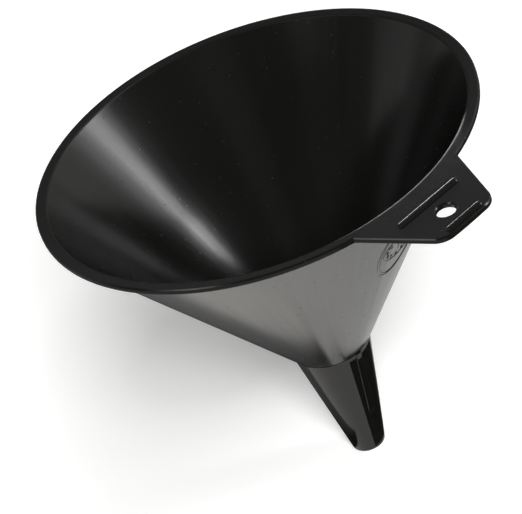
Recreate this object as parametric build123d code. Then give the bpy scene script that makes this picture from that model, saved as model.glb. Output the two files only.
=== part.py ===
from build123d import *
import math
import os

# A round hand funnel for fuel and oil: a wide bowl with a flat rim and a hang tab, a tapered spout
# plugged over the bowl's neck, and a strainer that drops into the bowl. Sizes are in millimetres.
# The origin is the centre of the spout's lower end, +Z runs up the axis, the hang tab is along +X.

# Rim and bowl
rim_diameter = 203.2
overall_height = 181.3
flange_width = 4.8
flange_thickness = 2.2
flange_chamfer = 0.6
mouth_round = 1.5
bowl_wall = 1.8

# Neck, where the spout is plugged over the bowl
neck_diameter = 38.2
plug_length = 9.0
plug_wall = 1.4
plug_gap = 0.05
throat_round = 3.0
seam_chamfer = 0.4

# Spout
spout_length = 64.0
spout_wall = 1.6
tip_diameter = 16.2
tip_chamfer = 0.4

# Low vent ribs down the spout, which hold it off a filler neck so that air can get out
rib_count = 2
rib_width = 3.4
rib_height = 0.8
rib_crest_round = 0.7
rib_foot_above_tip = 23.0
rib_foot_slope_length = 4.0

# Hang tab, level with the top of the rim
tab_length = 32.5
tab_root_width = 61.6
tab_end_width = 29.6
tab_end_bulge = 0.4
tab_corner_round = 8.5
hang_hole_diameter = 8.6
hang_hole_from_rim = 18.6

# Two raised grip bars across the tab, either side of the hole
bar_width = 3.0
bar_height = 1.2
bar_top_round = 1.1
inner_bar_from_rim = 8.6
inner_bar_length = 34.6
outer_bar_from_rim = 29.4
outer_bar_length = 20.0

# Strainer frame: a conical ring that rests in the bowl, cross bars, and a knob to lift it by
strainer_diameter = 50.0
strainer_gap = 0.3
ring_height = 5.5
ring_wall = 2.6
ledge_width = 1.0
crossbar_count = 4
crossbar_width = 1.6
crossbar_depth = 1.6
hub_diameter = 7.0
knob_post_diameter = 4.0
knob_diameter = 8.0
knob_height = 11.0
knob_head_height = 3.0
knob_chamfer = 0.8

# Strainer mesh: a sheet of square openings that lies on the ring's ledge and the cross bars
mesh_thickness = 0.4
mesh_gap = 0.1
mesh_opening = 3.0
mesh_strand = 0.8

# Derived radii, heights and slopes
rim_r = rim_diameter / 2
mouth_r = rim_r - flange_width
neck_r = neck_diameter / 2
tip_r = tip_diameter / 2
seam_z = spout_length
under_z = overall_height - flange_thickness
bowl_rise = overall_height - seam_z
bowl_run = mouth_r - neck_r
bowl_angle = math.atan(bowl_run / bowl_rise) + math.asin(bowl_wall / math.hypot(bowl_rise, bowl_run))
bowl_slope = math.tan(bowl_angle)
spout_angle = math.atan((neck_r - tip_r) / spout_length)
spout_slope = math.tan(spout_angle)


def bowl_outer_r(z):
    return neck_r + (z - seam_z) * bowl_slope


def bowl_inner_z(r):
    return seam_z + (r + bowl_wall / math.cos(bowl_angle) - neck_r) / bowl_slope


def spout_outer_r(z):
    return tip_r + z * spout_slope


def spout_inner_r(z):
    return spout_outer_r(z) - spout_wall / math.cos(spout_angle)


def plug_outer_r(z):
    return spout_inner_r(z) - plug_gap


def plug_inner_r(z):
    return plug_outer_r(z) - plug_wall / math.cos(spout_angle)


def turned(corners):
    """A solid turned about Z, from (radius, height, rounding) at each corner of its section."""
    points = [(r, z) for r, z, rounding in corners]
    roundings = [rounding for r, z, rounding in corners]
    with BuildPart() as solid:
        with BuildSketch(Plane.XZ):
            with BuildLine():
                FilletPolyline(*points, radius=roundings, close=True)
            make_face()
        revolve(axis=Axis.Z)
    return solid.part


def bowl_shell():
    """The cone, its flat rim and the plug below the seam, as one turned wall."""
    plug_end_z = seam_z - plug_length
    throat_r = plug_inner_r(seam_z)
    return turned([
        (mouth_r, overall_height, mouth_round),
        (rim_r - flange_chamfer, overall_height, 0),
        (rim_r, overall_height - flange_chamfer, 0),
        (rim_r, under_z, 0),
        (bowl_outer_r(under_z), under_z, 0),
        (bowl_outer_r(seam_z + seam_chamfer), seam_z + seam_chamfer, 0),
        (neck_r - seam_chamfer, seam_z, 0),
        (plug_outer_r(seam_z), seam_z, 0),
        (plug_outer_r(plug_end_z), plug_end_z, 0),
        (plug_inner_r(plug_end_z), plug_end_z, 0),
        (throat_r, bowl_inner_z(throat_r), throat_round),
    ])


def grip_bar(x, length):
    """A raised bar along Y with round ends and a rounded top, rooted inside the tab."""
    root_depth = flange_thickness / 2
    with BuildPart() as bar:
        with BuildSketch(Plane.XY.offset(overall_height - root_depth)):
            with Locations((x, 0)):
                SlotOverall(length, bar_width, rotation=90)
        extrude(amount=root_depth + bar_height)
        fillet(bar.faces().sort_by(Axis.Z)[-1].edges(), radius=bar_top_round)
    return bar.part


def hang_tab():
    """The flat tab outside the rim with its hole and its grip bars, cut to merge into the flange."""
    rim_x = math.sqrt(rim_r**2 - (tab_root_width / 2) ** 2)
    end_x = rim_r + tab_length
    corner_x = end_x - tab_end_bulge
    end_y = tab_end_width / 2
    taper = (tab_root_width / 2 - end_y) / (corner_x - rim_x)
    root_x = rim_x - flange_width
    root_y = tab_root_width / 2 + taper * flange_width
    with BuildPart() as tab:
        with BuildSketch(Plane.XY.offset(under_z)):
            with BuildLine():
                Line((root_x, -root_y), (corner_x, -end_y))
                ThreePointArc((corner_x, -end_y), (end_x, 0), (corner_x, end_y))
                Line((corner_x, end_y), (root_x, root_y))
                Line((root_x, root_y), (root_x, -root_y))
            outline = make_face()
            fillet(outline.vertices().sort_by(Axis.X)[-2:], radius=tab_corner_round)
            with Locations((rim_r + hang_hole_from_rim, 0)):
                Circle(hang_hole_diameter / 2, mode=Mode.SUBTRACT)
        extrude(amount=flange_thickness)
        chamfer(tab.faces().sort_by(Axis.Z)[-1].edges(), length=flange_chamfer)
    inside_flange = Pos(0, 0, overall_height) * Cylinder(rim_r - flange_width / 2, 4 * flange_thickness)
    inner_bar = grip_bar(rim_r + inner_bar_from_rim, inner_bar_length)
    outer_bar = grip_bar(rim_r + outer_bar_from_rim, outer_bar_length)
    return tab.part - inside_flange + inner_bar + outer_bar


def bowl():
    return bowl_shell() + hang_tab()


def vent_rib():
    """One rib, standing on the spout in the XZ plane, with a rounded crest and a foot that runs out."""
    root = spout_wall / 2
    top_z = seam_z - plug_gap
    foot_z = rib_foot_above_tip
    foot_crest_z = foot_z + rib_foot_slope_length
    foot_r = spout_outer_r(foot_z)
    with BuildPart() as rib:
        with BuildSketch(Plane.XZ):
            with BuildLine():
                Polyline(
                    (spout_outer_r(top_z) - root, top_z),
                    (foot_r - root, foot_z),
                    (foot_r, foot_z),
                    (spout_outer_r(foot_crest_z) + rib_height, foot_crest_z),
                    (spout_outer_r(top_z) + rib_height, top_z),
                    close=True,
                )
            make_face()
        extrude(amount=rib_width / 2, both=True)
        crest_edges = [edge for edge in rib.edges() if is_rib_crest(edge.center())]
        fillet(crest_edges, radius=rib_crest_round)
    return rib.part


def is_rib_crest(middle):
    """Whether an edge with this middle runs along one side of a rib, outside the spout's wall."""
    outside = middle.X - spout_outer_r(middle.Z)
    return abs(middle.Y) > rib_width / 4 and outside > rib_height / 4


def spout():
    body = turned([
        (neck_r, seam_z, 0),
        (spout_outer_r(tip_chamfer), tip_chamfer, 0),
        (tip_r - tip_chamfer, 0, 0),
        (spout_inner_r(0), 0, 0),
        (spout_inner_r(seam_z), seam_z, 0),
    ])
    for index in range(rib_count):
        body += Rot(0, 0, index * 360 / rib_count) * vent_rib()
    return body


# The strainer's ring rests where the bowl narrows to the ring's own width
strainer_r = strainer_diameter / 2
ring_top_z = bowl_inner_z(strainer_r) + strainer_gap / math.sin(bowl_angle)
ring_base_z = ring_top_z - ring_height
ring_base_r = strainer_r - ring_height * bowl_slope
ring_bore_r = ring_base_r - ring_wall
ledge_r = ring_bore_r + ledge_width
mesh_z = ring_base_z + crossbar_depth


def strainer_frame():
    """A ring with a ledge inside it for the mesh, cross bars, and a knob where they meet."""
    knob_r = knob_diameter / 2
    knob_top_z = ring_base_z + knob_height
    knob_under_z = knob_top_z - knob_head_height
    ring = turned([
        (strainer_r, ring_top_z, 0),
        (ring_base_r, ring_base_z, 0),
        (ring_bore_r, ring_base_z, 0),
        (ring_bore_r, mesh_z, 0),
        (ledge_r, mesh_z, 0),
        (ledge_r, ring_top_z, 0),
    ])
    with BuildPart() as spider:
        with BuildSketch(Plane.XY.offset(ring_base_z)):
            for index in range(crossbar_count // 2):
                Rectangle(2 * ring_bore_r + ring_wall, crossbar_width, rotation=index * 360 / crossbar_count)
            Circle(hub_diameter / 2)
        extrude(amount=crossbar_depth)
    knob = turned([
        (0, mesh_z, 0),
        (knob_post_diameter / 2, mesh_z, 0),
        (knob_post_diameter / 2, knob_under_z, 0),
        (knob_r, knob_under_z + knob_chamfer, 0),
        (knob_r, knob_top_z - knob_chamfer, 0),
        (knob_r - knob_chamfer, knob_top_z, 0),
        (0, knob_top_z, 0),
    ])
    return ring + spider.part + knob


def strainer_mesh():
    """A thin sheet with square openings, plain where the ledge and the hub carry it."""
    pitch = mesh_opening + mesh_strand
    reach = mesh_opening / math.sqrt(2)
    count = 2 * math.ceil(ring_bore_r / pitch)
    inner_limit = hub_diameter / 2 + reach
    outer_limit = ring_bore_r - reach
    with BuildPart() as sheet:
        with BuildSketch(Plane.XY.offset(mesh_z)):
            Circle(ledge_r - mesh_gap)
            Circle(knob_post_diameter / 2 + mesh_gap, mode=Mode.SUBTRACT)
            spots = GridLocations(pitch, pitch, count, count).local_locations
            open_spots = [spot for spot in spots if inner_limit < spot.position.length < outer_limit]
            with Locations(*open_spots):
                Rectangle(mesh_opening, mesh_opening, mode=Mode.SUBTRACT)
        extrude(amount=mesh_thickness)
    return sheet.part


os.makedirs("parts", exist_ok=True)
pieces = {
    "bowl": bowl(),
    "spout": spout(),
    "strainer_frame": strainer_frame(),
    "strainer_mesh": strainer_mesh(),
}
for name, piece in pieces.items():
    piece.label = name
    export_step(piece, f"parts/{name}.step")
    print(name, "volume", round(piece.volume, 1), "solids", len(piece.solids()))
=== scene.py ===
import math

import bpy
from mathutils import Matrix, Quaternion, Vector


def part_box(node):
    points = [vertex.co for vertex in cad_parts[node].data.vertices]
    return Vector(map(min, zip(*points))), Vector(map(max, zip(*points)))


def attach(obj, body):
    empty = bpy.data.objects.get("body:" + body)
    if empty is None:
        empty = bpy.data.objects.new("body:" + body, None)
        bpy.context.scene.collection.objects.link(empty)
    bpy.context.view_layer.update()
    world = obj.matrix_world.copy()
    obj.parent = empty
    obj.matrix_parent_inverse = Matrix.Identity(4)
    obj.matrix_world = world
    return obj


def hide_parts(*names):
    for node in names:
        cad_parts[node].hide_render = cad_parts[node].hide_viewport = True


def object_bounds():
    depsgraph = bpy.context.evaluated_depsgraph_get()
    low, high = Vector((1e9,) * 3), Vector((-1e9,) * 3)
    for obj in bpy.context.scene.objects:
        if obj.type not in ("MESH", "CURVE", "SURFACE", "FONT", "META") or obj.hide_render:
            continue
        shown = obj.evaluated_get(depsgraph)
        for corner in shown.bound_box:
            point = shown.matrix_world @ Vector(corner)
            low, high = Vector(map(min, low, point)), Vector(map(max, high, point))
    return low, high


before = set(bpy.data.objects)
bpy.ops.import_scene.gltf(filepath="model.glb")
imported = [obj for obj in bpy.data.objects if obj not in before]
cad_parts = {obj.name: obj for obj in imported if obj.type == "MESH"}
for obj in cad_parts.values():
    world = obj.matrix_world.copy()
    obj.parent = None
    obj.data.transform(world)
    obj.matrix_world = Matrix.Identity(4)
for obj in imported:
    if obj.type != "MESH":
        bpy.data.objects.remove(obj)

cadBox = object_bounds()
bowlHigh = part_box("bowl")[1]
mm = 0.001
rimTop = 181.3 * mm      # the flat rim, which is lower than the grip bars on the tab
noiseSpan = (0.3, 0.7)   # where nearly all noise values lie


def direction(azimuth, elevation):  # degrees, from +X towards +Y, and up from the horizon
    turn, rise = math.radians(azimuth), math.radians(elevation)
    return Vector((math.cos(rise) * math.cos(turn), math.cos(rise) * math.sin(turn), math.sin(rise)))


def startMaterial(name):
    material = bpy.data.materials.new(name)
    material.use_nodes = True
    return material, material.node_tree, material.node_tree.nodes["Principled BSDF"]


def node(tree, kind, sockets=None, **settings):  # a shader node with its settings and socket values
    made = tree.nodes.new("ShaderNode" + kind)
    for key, value in settings.items():
        setattr(made, key, value)
    for key, value in (sockets or {}).items():
        made.inputs[key].default_value = value
    return made


def link(tree, source, target):
    tree.links.new(source, target)


def noise(tree, place, scale, detail=3.0):  # noise from 0 to 1, scale per metre
    made = node(tree, "TexNoise", {"Scale": scale, "Detail": detail})
    link(tree, place, made.inputs["Vector"])
    return made.outputs["Fac"]


def remap(tree, value, low, high, toLow, toHigh):
    made = node(tree, "MapRange", {"From Min": low, "From Max": high, "To Min": toLow, "To Max": toHigh})
    link(tree, value, made.inputs["Value"])
    return made.outputs["Result"]


def combine(tree, operation, first, second):
    made = node(tree, "Math", operation=operation)
    for socket, value in zip(made.inputs, (first, second)):
        if isinstance(value, (int, float)):
            socket.default_value = value
        else:
            link(tree, value, socket)
    return made.outputs["Value"]


def mixColors(tree, factor, first, second):
    made = node(tree, "Mix", data_type="RGBA")
    link(tree, factor, made.inputs["Factor"])
    made.inputs["A"].default_value = first
    made.inputs["B"].default_value = second
    return made.outputs["Result"]


def bump(tree, height, normal, size):  # size is the strength and the depth
    made = node(tree, "Bump", {"Strength": size[0], "Distance": size[1]})
    link(tree, height, made.inputs["Height"])
    if normal is not None:
        link(tree, normal, made.inputs["Normal"])
    return made.outputs["Normal"]


bowlPlastic = {
    "name": "bowl_black_plastic",
    "base": (0.0043, 0.0043, 0.0039, 1),
    "cloudy": (0.0059, 0.0059, 0.0054, 1),
    "roughness": (0.17, 0.23),
    "ior": 1.5,
    "cloudScale": 9.0,
    "cloudSpan": (0.35, 0.65),
    "rippleScale": 60.0,
    "rippleBump": (0.04, 0.4 * mm),    # strength and depth
    "grainScale": 2600.0,
    "grainBump": (0.05, 0.05 * mm),
    "edgeRadius": 0.35 * mm,
    "edgeSamples": 6,
    "flowLines": 26.0,
    "flowRise": 18.0,                  # how fast a flow line changes up the wall
    "flowRoughness": (-0.02, 0.03),
    "flowBump": 0.05,
    "speckScale": 420.0,
    "speckChosen": (0.90, 0.92),       # which of the cells hold a speck
    "speckSize": (0.10, 0.22),
    "dust": (0.011, 0.011, 0.010, 1),
    "dustRoughness": 0.2,
    "wornRadius": 96.95 * mm,          # the mouth's edge, rubbed dull
    "wornReach": (0.6 * mm, 0.9 * mm),
    "wornHeight": (179.8 * mm, 180.2 * mm),
    "wornRoughness": 0.35,
}
spoutPlastic = dict(bowlPlastic, name="spout_black_plastic", roughness=(0.10, 0.16), ior=1.38)
beadPlastic = dict(bowlPlastic, name="bead_black_plastic", roughness=(0.08, 0.14), edgeRadius=0.02 * mm)
dialPlastic = dict(bowlPlastic, name="dial_black_plastic", roughness=(0.36, 0.42), edgeRadius=0.03 * mm)
strainerPlastic = dict(
    bowlPlastic,
    name="strainer_grey_plastic",
    base=(0.030, 0.030, 0.031, 1),
    cloudy=(0.040, 0.040, 0.041, 1),
    roughness=(0.42, 0.50),
    grainScale=1800.0,
)


# Faint streaks that run straight up the wall, as the plastic flowed in the mould
def flowLines(tree, place, look):
    split = node(tree, "SeparateXYZ")
    link(tree, place, split.inputs["Vector"])
    ring = node(tree, "CombineXYZ")
    link(tree, split.outputs["X"], ring.inputs["X"])
    link(tree, split.outputs["Y"], ring.inputs["Y"])
    unit = node(tree, "VectorMath", operation="NORMALIZE")
    link(tree, ring.outputs["Vector"], unit.inputs[0])
    turned = node(tree, "SeparateXYZ")
    link(tree, unit.outputs["Vector"], turned.inputs["Vector"])
    vector = node(tree, "CombineXYZ")
    link(tree, combine(tree, "MULTIPLY", turned.outputs["X"], look["flowLines"]), vector.inputs["X"])
    link(tree, combine(tree, "MULTIPLY", turned.outputs["Y"], look["flowLines"]), vector.inputs["Y"])
    link(tree, combine(tree, "MULTIPLY", split.outputs["Z"], look["flowRise"]), vector.inputs["Z"])
    return noise(tree, vector.outputs["Vector"], 1.0, detail=4.0)


def specks(tree, place, look):  # sparse specks of dust, zero between them
    cells = node(tree, "TexVoronoi", {"Scale": look["speckScale"]})
    link(tree, place, cells.inputs["Vector"])
    chosen = node(tree, "SeparateColor")
    link(tree, cells.outputs["Color"], chosen.inputs["Color"])
    few = remap(tree, chosen.outputs["Red"], *look["speckChosen"], 0.0, 1.0)
    spot = remap(tree, cells.outputs["Distance"], *look["speckSize"], 1.0, 0.0)
    return combine(tree, "MULTIPLY", few, spot)


def wornEdge(tree, place, look):  # 1 on the mouth's rounded edge and 0 elsewhere
    split = node(tree, "SeparateXYZ")
    link(tree, place, split.inputs["Vector"])
    level = node(tree, "VectorMath", {1: (1, 1, 0)}, operation="MULTIPLY")
    link(tree, place, level.inputs[0])
    radius = node(tree, "VectorMath", operation="LENGTH")
    link(tree, level.outputs["Vector"], radius.inputs[0])
    away = combine(tree, "SUBTRACT", radius.outputs["Value"], look["wornRadius"])
    near = remap(tree, combine(tree, "ABSOLUTE", away, 0.0), *look["wornReach"], 1.0, 0.0)
    above = remap(tree, split.outputs["Z"], *look["wornHeight"], 0.0, 1.0)
    return combine(tree, "MULTIPLY", near, above)


def makeMouldedPlastic(look):
    material, tree, shader = startMaterial(look["name"])
    place = node(tree, "TexCoord").outputs["Object"]
    cloud = noise(tree, place, look["cloudScale"], detail=4.0)
    ripple = noise(tree, place, look["rippleScale"], detail=2.0)
    grain = noise(tree, place, look["grainScale"], detail=2.0)
    flow = flowLines(tree, place, look)
    dust = specks(tree, place, look)
    clouded = remap(tree, cloud, *look["cloudSpan"], 0.0, 1.0)
    color = mixColors(tree, clouded, look["base"], look["cloudy"])
    dusty = node(tree, "Mix", {"B": look["dust"]}, data_type="RGBA")
    link(tree, dust, dusty.inputs["Factor"])
    link(tree, color, dusty.inputs["A"])
    link(tree, dusty.outputs["Result"], shader.inputs["Base Color"])
    rough = remap(tree, cloud, *noiseSpan, *look["roughness"])
    rough = combine(tree, "ADD", rough, remap(tree, flow, *noiseSpan, *look["flowRoughness"]))
    rough = combine(tree, "ADD", rough, combine(tree, "MULTIPLY", dust, look["dustRoughness"]))
    worn = combine(tree, "MULTIPLY", wornEdge(tree, place, look), look["wornRoughness"])
    link(tree, combine(tree, "ADD", rough, worn), shader.inputs["Roughness"])
    shader.inputs["IOR"].default_value = look["ior"]
    edge = node(tree, "Bevel", {"Radius": look["edgeRadius"]}, samples=look["edgeSamples"])
    waves = combine(tree, "ADD", ripple, combine(tree, "MULTIPLY", flow, look["flowBump"]))
    rippled = bump(tree, waves, edge.outputs["Normal"], look["rippleBump"])
    link(tree, bump(tree, grain, rippled, look["grainBump"]), shader.inputs["Normal"])
    return material


wireSteel = {
    "name": "wire_steel",
    "bright": (0.62, 0.60, 0.56, 1),
    "dull": (0.40, 0.385, 0.36, 1),
    "roughness": (0.25, 0.42),
    "stainScale": 300.0,
    "drawnScale": 9000.0,
    "drawnBump": (0.2, 0.02 * mm),
}


def makeWireSteel(look):
    material, tree, shader = startMaterial(look["name"])
    place = node(tree, "TexCoord").outputs["Object"]
    stain = noise(tree, place, look["stainScale"], detail=4.0)
    drawn = noise(tree, place, look["drawnScale"], detail=2.0)
    link(tree, mixColors(tree, stain, look["bright"], look["dull"]), shader.inputs["Base Color"])
    link(tree, remap(tree, stain, *noiseSpan, *look["roughness"]), shader.inputs["Roughness"])
    shader.inputs["Metallic"].default_value = 1.0
    link(tree, bump(tree, drawn, None, look["drawnBump"]), shader.inputs["Normal"])
    return material


def paint(nodeName, material):
    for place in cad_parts[nodeName].material_slots:
        place.material = material


paint("bowl", makeMouldedPlastic(bowlPlastic))
paint("spout", makeMouldedPlastic(spoutPlastic))
paint("strainer_frame", makeMouldedPlastic(strainerPlastic))
print("materials done")


def addPiece(name, points, faces, material, body, smooth=False):
    mesh = bpy.data.meshes.new(name)
    mesh.from_pydata(points, [], faces)
    mesh.validate()
    mesh.update()
    for face in mesh.polygons:
        face.use_smooth = smooth
    mesh.materials.append(material)
    piece = bpy.data.objects.new(name, mesh)
    bpy.context.scene.collection.objects.link(piece)
    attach(piece, body)
    return piece


def tube(rings, closed):  # faces of a tube through equal rings of points, with or without flat ends
    sides = len(rings[0])
    points = [point for ring in rings for point in ring]
    count = len(rings)
    faces = []
    for i in range(count if closed else count - 1):
        low, high = i * sides, (i + 1) % count * sides
        turns = [(j, (j + 1) % sides) for j in range(sides)]
        faces += [(low + j, low + k, high + k, high + j) for j, k in turns]
    if not closed:
        faces.append(tuple(reversed(range(sides))))
        faces.append(tuple(range((count - 1) * sides, count * sides)))
    return points, faces


def join(parts):
    points, faces = [], []
    for morePoints, moreFaces in parts:
        start = len(points)
        points += morePoints
        faces += [tuple(start + i for i in face) for face in moreFaces]
    return points, faces


digitStrokes = {  # plain figures as strokes on a grid two wide and four high
    "0": [[(0, 1), (0, 3), (0.6, 4), (1.4, 4), (2, 3), (2, 1), (1.4, 0), (0.6, 0), (0, 1)]],
    "1": [[(0.4, 3.2), (1.2, 4), (1.2, 0)]],
    "2": [[(0, 3.2), (0.5, 4), (1.5, 4), (2, 3.2), (2, 2.6), (0, 0), (2, 0)]],
    "3": [[(0, 3.4), (0.6, 4), (1.4, 4), (2, 3.3), (2, 2.6), (1.3, 2.1), (2, 1.5), (2, 0.7), (1.4, 0),
           (0.6, 0), (0, 0.6)]],
    "4": [[(1.5, 0), (1.5, 4), (0, 1.2), (2.1, 1.2)]],
    "5": [[(1.9, 4), (0.2, 4), (0, 2.3), (1.3, 2.5), (2, 1.8), (2, 0.8), (1.3, 0), (0, 0.2)]],
    "6": [[(1.8, 3.8), (0.8, 3.8), (0, 2.4), (0, 0.8), (0.6, 0), (1.4, 0), (2, 0.8), (2, 1.6), (1.4, 2.3),
           (0, 1.9)]],
    "7": [[(0, 4), (2, 4), (0.8, 0)]],
    "8": [[(1, 2.1), (0.2, 2.8), (0.2, 3.5), (0.7, 4), (1.3, 4), (1.8, 3.5), (1.8, 2.8), (1, 2.1), (0, 1.3),
           (0, 0.6), (0.6, 0), (1.4, 0), (2, 0.6), (2, 1.3), (1, 2.1)]],
    "9": [[(0.2, 0.2), (1.2, 0.2), (2, 1.6), (2, 3.2), (1.4, 4), (0.6, 4), (0, 3.2), (0, 2.4), (0.6, 1.7),
           (2, 2.1)]],
}
digitWide, digitTall = 2, 4
dateDial = {  # a double oval, a circle, the months in a ring, and an arrow that points to the twelve
    "azimuth": 4.0,
    "belowRim": 38 * mm,
    "ovals": ((12.0 * mm, 22.0 * mm), (10.6 * mm, 20.6 * mm), (9.2 * mm, 9.2 * mm)),
    "ovalSteps": 72,
    "numberRadius": 7.0 * mm,
    "digitHeight": 2.0 * mm,
    "digitGap": 0.4 * mm,
    "arrow": 3.2 * mm,        # half its length
    "arrowBarb": (0.4, 0.5),  # where its barbs start, as a share of that
    "lineWidth": 0.30 * mm,
    "sharpestTurn": 0.6,      # keeps the lines from growing wide at a sharp corner
    "raised": 0.16 * mm,
    "edgeRaised": 0.1,        # how high a line's edges stand, as a share of its middle
    "sunk": 0.25 * mm,
}
coneFoot = (19.37 * mm, 64.4 * mm)  # radius and height of the outer wall, at the seam and under the rim
coneHead = (97.48 * mm, 179.1 * mm)
coneSlope = (coneHead[0] - coneFoot[0]) / (coneHead[1] - coneFoot[1])


def dialLines(look):  # every line of the dial, as points across and up it
    lines = []
    turns = [math.radians(360 / look["ovalSteps"] * step) for step in range(look["ovalSteps"])]
    for wide, tall in look["ovals"]:
        lines.append(([(wide * math.cos(t), tall * math.sin(t)) for t in turns], True))
    scale = look["digitHeight"] / digitTall
    for number in range(1, 13):
        turn = math.radians(90 - 30 * number)
        across, up = math.cos(turn), math.sin(turn)
        text = str(number)
        width = len(text) * digitWide * scale + (len(text) - 1) * look["digitGap"]
        left = look["numberRadius"] * across - width / 2
        low = look["numberRadius"] * up - look["digitHeight"] / 2
        for place, digit in enumerate(text):
            start = left + place * (digitWide * scale + look["digitGap"])
            for stroke in digitStrokes[digit]:
                lines.append(([(start + x * scale, low + y * scale) for x, y in stroke], False))
    size = look["arrow"]
    lines.append(([(0, -size), (0, size)], False))
    wide, high = (share * size for share in look["arrowBarb"])
    lines.append(([(-wide, high), (0, size), (wide, high)], False))
    return lines


def lineTube(line, closed, look, place):  # a raised line with a ridged top, laid on the wall by place
    half = look["lineWidth"] / 2
    rings = []
    count = len(line)
    for i, (x, y) in enumerate(line):
        before = line[i - 1] if closed or i else line[0]
        after = line[(i + 1) % count] if closed or i < count - 1 else line[-1]
        first = Vector((x - before[0], y - before[1]))
        second = Vector((after[0] - x, after[1] - y))
        first = first.normalized() if first.length > 0 else second.normalized()
        second = second.normalized() if second.length > 0 else first
        along = (first + second).normalized()
        reach = half / max(look["sharpestTurn"], along.dot(second))
        side = Vector((-along.y, along.x)) * reach
        middle = Vector((x, y))
        edge = look["edgeRaised"] * look["raised"]
        section = [(-1, -look["sunk"]), (1, -look["sunk"]), (1, edge), (0, look["raised"]), (-1, edge)]
        rings.append([place(*(middle + side * -across), height) for across, height in section])
    return tube(rings, closed)


def addDateDial(look):
    tilt = math.atan(coneSlope)

    def place(across, up, height):
        z = rimTop - look["belowRim"] + up * math.cos(tilt)
        radius = coneFoot[0] + (z - coneFoot[1]) * coneSlope
        outward = direction(look["azimuth"] + math.degrees(across / radius), 0)
        normal = outward * math.cos(tilt) - Vector((0, 0, math.sin(tilt)))
        return tuple(outward * radius + Vector((0, 0, z)) + normal * height)

    points, faces = join([lineTube(line, closed, look, place) for line, closed in dialLines(look)])
    addPiece("date_dial", points, faces, makeMouldedPlastic(dialPlastic), "funnel")


meshLow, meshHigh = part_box("strainer_mesh")
wovenMesh = {
    "pitch": 1.3 * mm,
    "wire": 0.1 * mm,        # the wire's radius
    "sides": 6,
    "bandWidth": 1.2 * mm,   # the pressed band that binds the edge, and the one round the knob's post
    "bandDrop": 0.02 * mm,
    "eyeRadius": 2.15 * mm,
    "eyeWidth": 1.1 * mm,
    "turns": 96,
}


# One wire across the disc, bent over and under the others
def wireRun(look, offset, along, reach, phase):
    points = []
    steps = int(reach / (look["pitch"] / 2))
    for step in range(-steps, steps + 1):
        height = look["wire"] * math.sin((step / 2 + phase) * math.pi)
        travel = step * look["pitch"] / 2
        points.append(Vector((travel, offset, height) if along == "X" else (offset, travel, height)))
    return points


def wireTube(points, look, middle):  # a wire along the points, with flat ends
    rings = []
    for i, point in enumerate(points):
        forward = (points[min(i + 1, len(points) - 1)] - points[max(i - 1, 0)]).normalized()
        side = Vector((0, 0, 1)).cross(forward).normalized()
        up = forward.cross(side)
        turns = [2 * math.pi * (j + 0.5) / look["sides"] for j in range(look["sides"])]
        spokes = [side * math.cos(t) + up * math.sin(t) for t in turns]
        rings.append([tuple(middle + point + spoke * look["wire"]) for spoke in spokes])
    return tube(rings, False)


def bandRing(inner, outer, look, middle, half):  # a flat ring, half as thick to each side of the middle
    rings = []
    for step in range(look["turns"]):
        outward = direction(360 * step / look["turns"], 0)
        near, far = middle + outward * inner, middle + outward * outer
        section = [(near, -half), (far, -half), (far, half), (near, half)]
        rings.append([tuple(edge + Vector((0, 0, height))) for edge, height in section])
    return tube(rings, True)


def addWovenMesh(look):
    middle = (meshLow + meshHigh) / 2
    half = (meshHigh.z - meshLow.z) / 2 - look["bandDrop"]
    edge = meshHigh.x
    reach = edge - look["bandWidth"] / 2
    eye = look["eyeRadius"] + look["eyeWidth"] / 2
    parts = [bandRing(edge - look["bandWidth"], edge, look, middle, half),
             bandRing(look["eyeRadius"], look["eyeRadius"] + look["eyeWidth"], look, middle, half)]
    count = int(reach / look["pitch"])
    for along in "XY":
        for row in range(-count, count + 1):
            offset = (row + 0.5) * look["pitch"]
            if abs(offset) >= reach:
                continue
            ends = math.sqrt(reach**2 - offset**2)
            phase = row + (0.5 if along == "X" else 1.5)
            run = wireRun(look, offset, along, ends, phase)
            outside = [point for point in run if math.hypot(point.x, point.y) > eye]
            if len(outside) == len(run):
                parts.append(wireTube(run, look, middle))
                continue
            for side in (-1, 1):
                piece = [point for point in outside if side * point["XY".index(along)] > 0]
                parts.append(wireTube(piece, look, middle))
    points, faces = join(parts)
    steel = makeWireSteel(wireSteel)
    mesh = addPiece("woven_mesh", points, faces, steel, "strainer", smooth=True)
    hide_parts("strainer_mesh")


weldBead = {
    "radius": 19.12 * mm,
    "height": 64.05 * mm,
    "thick": 0.26 * mm,
    "uneven": 0.13 * mm,
    "longWave": (7, 40),   # waves round the seam, and where they start in degrees
    "shortWave": (17, 0),
    "shortSwell": (3, 10),
    "shortShare": 0.7,
    "riseWave": (11, 70),
    "turns": 240,
    "sides": 8,
}


def wave(turn, settings):
    count, start = settings
    return math.sin(math.radians(count * turn + start))


def addWeldBead(look):  # the slightly uneven lip where the spout meets the bowl
    rings = []
    for step in range(look["turns"]):
        turn = 360 * step / look["turns"]
        outward = direction(turn, 0)
        short = look["shortShare"] * wave(turn, look["shortWave"]) * wave(turn, look["shortSwell"])
        thick = look["thick"] + look["uneven"] / 2 * (wave(turn, look["longWave"]) + short)
        rise = look["uneven"] / 2 * wave(turn, look["riseWave"])
        middle = outward * look["radius"] + Vector((0, 0, look["height"] + rise))
        angles = [2 * math.pi * j / look["sides"] for j in range(look["sides"])]
        spokes = [outward * math.cos(a) + Vector((0, 0, math.sin(a))) for a in angles]
        rings.append([tuple(middle + spoke * thick) for spoke in spokes])
    points, faces = tube(rings, True)
    plastic = makeMouldedPlastic(beadPlastic)
    addPiece("weld_bead", points, faces, plastic, "funnel", smooth=True)


addDateDial(dateDial)
addWovenMesh(wovenMesh)
addWeldBead(weldBead)
print("pieces done")

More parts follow.
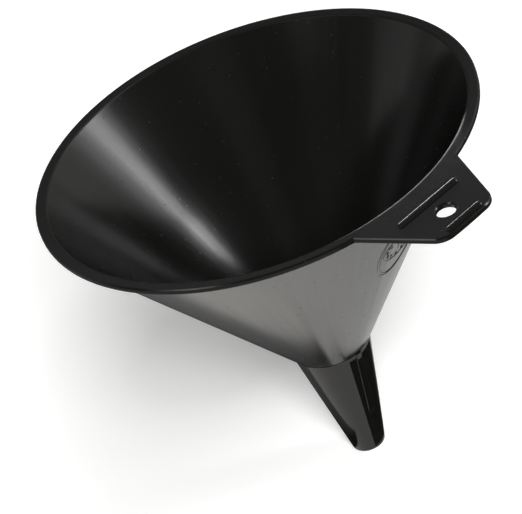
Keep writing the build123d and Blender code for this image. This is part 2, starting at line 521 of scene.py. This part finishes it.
viewpoint = {
    "target": (16.1 * mm, -27.3 * mm, 140.8 * mm),
    "distance": 1.0,
    "azimuth": -29.8,
    "elevation": 34.2,
    "roll": -21.7,
    "lens": 157.8,
    "clipStart": 0.01,
}


def addCamera(view):
    backward = direction(view["azimuth"], view["elevation"])
    data = bpy.data.cameras.new("camera")
    data.lens = view["lens"]
    data.clip_start = view["clipStart"]
    camera = bpy.data.objects.new("camera", data)
    camera.location = Vector(view["target"]) + backward * view["distance"]
    camera.rotation_mode = "QUATERNION"
    rolled = Quaternion((0, 0, 1), math.radians(view["roll"]))
    camera.rotation_quaternion = backward.to_track_quat("Z", "Y") @ rolled
    bpy.context.scene.collection.objects.link(camera)
    bpy.context.scene.camera = camera


addCamera(viewpoint)

floorLook = {
    "halfWidth": 6.0,
    "pale": (0.88, 0.88, 0.87, 1),
    "paler": (0.92, 0.92, 0.91, 1),
    "paleScale": 3.0,
    "roughness": 0.8,
    "specular": 0.2,
    "shadowPlace": (-130 * mm, 10 * mm, 0),  # where the bowl's shadow lies, which is whitened least, so a painted shadow deepens the real one there
    "whiteFrom": (0.04, 0.125),
    "white": (0.05, 0.38),             # how much the floor is whitened for the camera
    "farFrom": (0.5, 2.0),
    "farWhite": (0.0, 0.55),           # and how much more far away, where no lamp reaches
    "glow": (0.45, 0.05),              # painted reflection: how brightly the floor glows in gloss only, in front of the funnel and beside it
    "glowFrom": (-0.03, 0.06),
    "glowColor": (1.0, 0.96, 0.87, 1),
    "dimApex": (6 * mm, -20 * mm, 0),  # a sector behind the funnel, painted dark for gloss only: a painted shadow seen in reflections
    "dimAzimuth": 169.0,
    "dimHalfAngle": 44.6,
    "dimSoft": 0.05,                   # radians
    "brightReach": (0.19, 0.23),       # how far from the foot gloss sees the floor bright
    "dimTones": (0.03, 0.30),
    "dimTurn": (10.0, -35.0),
}


def addFloor(look):
    half = look["halfWidth"]
    mesh = bpy.data.meshes.new("floor")
    corners = [(-half, -half, 0), (half, -half, 0), (half, half, 0), (-half, half, 0)]
    mesh.from_pydata(corners, [], [(0, 1, 2, 3)])
    floor = bpy.data.objects.new("floor", mesh)
    floor.location.z = cadBox[0][2]
    bpy.context.scene.collection.objects.link(floor)
    material, tree, shader = startMaterial("pale_floor")
    place = node(tree, "TexCoord").outputs["Object"]
    pale = mixColors(tree, noise(tree, place, look["paleScale"]), look["pale"], look["paler"])
    shader.inputs["Roughness"].default_value = look["roughness"]
    shader.inputs["Specular IOR Level"].default_value = look["specular"]
    rays = node(tree, "LightPath").outputs
    # Painted reflection: for glossy rays only, the floor is painted dark in a sector behind the funnel, a
    # painted shadow that the cone and spout reflect
    shifted = node(tree, "VectorMath", {1: look["dimApex"]}, operation="SUBTRACT")
    link(tree, place, shifted.inputs[0])
    turned = node(tree, "Mapping", {"Rotation": (0, 0, math.radians(180 - look["dimAzimuth"]))})
    link(tree, shifted.outputs["Vector"], turned.inputs["Vector"])
    split = node(tree, "SeparateXYZ")
    link(tree, turned.outputs["Vector"], split.inputs["Vector"])
    back = combine(tree, "MULTIPLY", split.outputs["X"], -1.0)
    angle = combine(tree, "ARCTAN2", split.outputs["Y"], back)
    edge, soft = math.radians(look["dimHalfAngle"]), look["dimSoft"]
    lit = remap(tree, combine(tree, "ABSOLUTE", angle, 0.0), edge - soft, edge + soft, 0.0, 1.0)
    reach = node(tree, "VectorMath", operation="LENGTH")
    link(tree, place, reach.inputs[0])
    near = remap(tree, reach.outputs["Value"], *look["brightReach"], 1.0, 0.0)
    lit = combine(tree, "MULTIPLY", lit, near)
    low, high = (math.radians(turn) for turn in look["dimTurn"])
    dim = remap(tree, angle, high, low, *reversed(look["dimTones"]))
    dimmed = combine(tree, "MULTIPLY", combine(tree, "SUBTRACT", 1.0, lit), rays["Is Glossy Ray"])
    color = node(tree, "Mix", data_type="RGBA")
    link(tree, dimmed, color.inputs["Factor"])
    link(tree, pale, color.inputs["A"])
    link(tree, dim, color.inputs["B"])
    link(tree, color.outputs["Result"], shader.inputs["Base Color"])
    # Painted reflection: the floor glows for glossy rays only, brightest in front of the funnel, in a warm
    # tint
    plain = node(tree, "SeparateXYZ")
    link(tree, place, plain.inputs["Vector"])
    glow = remap(tree, plain.outputs["Y"], *look["glowFrom"], *look["glow"])
    glow = combine(tree, "MULTIPLY", combine(tree, "MULTIPLY", glow, lit), rays["Is Glossy Ray"])
    # The camera sees the floor whitened, least round the shadow place: a painted shadow there over the
    # bowl's real shadow
    distance = node(tree, "VectorMath", {1: look["shadowPlace"]}, operation="DISTANCE")
    link(tree, place, distance.inputs[0])
    white = remap(tree, distance.outputs["Value"], *look["whiteFrom"], *look["white"])
    far = remap(tree, reach.outputs["Value"], *look["farFrom"], *look["farWhite"])
    white = combine(tree, "MULTIPLY", combine(tree, "ADD", white, far), rays["Is Camera Ray"])
    glowColor = mixColors(tree, rays["Is Camera Ray"], look["glowColor"], (1, 1, 1, 1))
    link(tree, glowColor, shader.inputs["Emission Color"])
    link(tree, combine(tree, "ADD", glow, white), shader.inputs["Emission Strength"])
    mesh.materials.append(material)


flagLook = {  # a dark card round one side of the spout, seen only in gloss: it paints a dark reflection on the spout
    "from": -16.0,
    "to": (84.0, 46.0),  # further round at the foot than at the top
    "steps": 24,
    "footRadius": 9.2 * mm,
    "topRadius": 19.8 * mm,
    "height": 60 * mm,
    "tone": 0.40,
}


def addFlag(look):
    bottom = Vector((0, 0, cadBox[0][2]))
    points = []
    edges = zip(look["to"], (look["footRadius"], look["topRadius"]), (0, look["height"]))
    for end, radius, height in edges:
        for step in range(look["steps"] + 1):
            turn = look["from"] + (end - look["from"]) * step / look["steps"]
            points.append(direction(turn, 0) * radius + bottom + Vector((0, 0, height)))
    count = look["steps"] + 1
    mesh = bpy.data.meshes.new("dark_flag")
    mesh.from_pydata(points, [], [(i, i + 1, count + i + 1, count + i) for i in range(count - 1)])
    # the card's plain grey, seen only in gloss, is a painted dark reflection on the spout
    material, tree, shader = startMaterial("painted_dark_reflection")
    shader.inputs["Base Color"].default_value = (look["tone"],) * 3 + (1,)
    shader.inputs["Roughness"].default_value = 1.0
    shader.inputs["Specular IOR Level"].default_value = 0.0
    mesh.materials.append(material)
    flag = bpy.data.objects.new("dark_flag", mesh)
    flag.visible_camera = flag.visible_diffuse = False
    flag.visible_shadow = flag.visible_transmission = False
    bpy.context.scene.collection.objects.link(flag)


streakCard = {  # a lit card inside the mouth, so the streak on the far wall runs on down
    "name": "streak_card",
    "foot": (13 * mm, 56 * mm, 134 * mm),
    "head": (22 * mm, 84 * mm, 178 * mm),
    "faces": (-50 * mm, -12.5 * mm, 112 * mm),
    "width": 17 * mm,
    "radiance": 1.0,
    "spread": 60.0,
}
glintCard = {  # a low lit card over the mouth, which draws the thin lights along the grip bars
    "name": "glint_card",
    "foot": (43 * mm, 3 * mm, 188 * mm),
    "head": (69 * mm, 57 * mm, 188 * mm),
    "faces": (118 * mm, 0, 182 * mm),
    "width": 14 * mm,
    "radiance": 0.8,
    "spread": 50.0,
}


def addCard(look):
    foot, head = Vector(look["foot"]), Vector(look["head"])
    middle, along = (foot + head) / 2, (head - foot)
    back = (middle - Vector(look["faces"])).normalized()
    side = along.cross(back).normalized()
    up = back.cross(side)
    data = bpy.data.lights.new(look["name"], "AREA")
    data.shape = "RECTANGLE"
    data.size = look["width"]
    data.size_y = along.dot(up)
    data.energy = look["radiance"] * math.pi * data.size * data.size_y
    data.spread = math.radians(look["spread"])
    card = bpy.data.objects.new(look["name"], data)
    card.matrix_world = Matrix((side, up, back)).transposed().to_4x4()
    card.location = middle
    card.visible_camera = card.visible_diffuse = False
    bpy.context.scene.collection.objects.link(card)


skyLook = {
    "horizon": (0.27, 0.27, 0.26, 1),
    "zenith": (0.05, 0.05, 0.05, 1),
    "heights": (0.05, 0.5),
    "strength": (0.45, 1.0),  # on dull surfaces, and in gloss
    "backdrop": 0.97,         # how bright the camera sees it
}


def setWorld(look):
    world = bpy.data.worlds.new("studio")
    world.use_nodes = True
    tree = world.node_tree
    background = tree.nodes["Background"]
    split = node(tree, "SeparateXYZ")
    link(tree, node(tree, "TexCoord").outputs["Generated"], split.inputs["Vector"])
    height = remap(tree, split.outputs["Z"], *look["heights"], 0.0, 1.0)
    link(tree, mixColors(tree, height, look["horizon"], look["zenith"]), background.inputs["Color"])
    rays = node(tree, "LightPath").outputs
    strength = remap(tree, rays["Is Glossy Ray"], 0.0, 1.0, *look["strength"])
    link(tree, strength, background.inputs["Strength"])
    backdrop = node(tree, "Background", {"Color": (1, 1, 1, 1), "Strength": look["backdrop"]})
    seen = node(tree, "MixShader")
    link(tree, rays["Is Camera Ray"], seen.inputs["Fac"])
    link(tree, background.outputs["Background"], seen.inputs[1])
    link(tree, backdrop.outputs["Background"], seen.inputs[2])
    link(tree, seen.outputs["Shader"], tree.nodes["World Output"].inputs["Surface"])
    bpy.context.scene.world = world


lampTarget = Vector((0, 0, bowlHigh.z * 0.6))  # in the lower half of the cone
lamps = {  # azimuth, elevation, distance, width, height, power, seen in gloss
    "key_light": (53, 20, 2.2, 0.32, 1.7, 15.5, True),
    "key_edge": (62, 20, 2.2, 0.40, 1.7, 3.3, True),
    "key_glow": (80, 14, 2.2, 1.00, 1.3, 1.7, True),
    "low_panel": (112, -4, 2.2, 1.6, 1.4, 0.8, True),
    "top_light": (60, 70, 2.6, 1.3, 1.3, 10, False),
    "back_panel": (150, 47, 2.4, 2.4, 1.2, 1.8, True),
    "mouth_panel": (-98, 49, 2.2, 0.9, 0.5, 3.6, True),
    "left_panel": (-137, 21, 2.2, 0.9, 0.7, 0.5, True),
    "front_light": (-25, 39, 2.6, 0.8, 0.8, 66, False),
}


def addLamp(name, azimuth, elevation, distance, width, height, power, inGloss):
    outward = direction(azimuth, elevation)
    data = bpy.data.lights.new(name, "AREA")
    data.shape = "RECTANGLE"
    data.size = width
    data.size_y = height
    data.energy = power
    lamp = bpy.data.objects.new(name, data)
    lamp.location = lampTarget + outward * distance
    lamp.rotation_mode = "QUATERNION"
    lamp.rotation_quaternion = outward.to_track_quat("Z", "Y")
    lamp.visible_glossy = inGloss
    bpy.context.scene.collection.objects.link(lamp)


addFlag(flagLook)
addFloor(floorLook)
setWorld(skyLook)
for name, settings in lamps.items():
    addLamp(name, *settings)
addCard(streakCard)
addCard(glintCard)
bpy.context.scene.view_settings.view_transform = "Standard"
print("stage done")
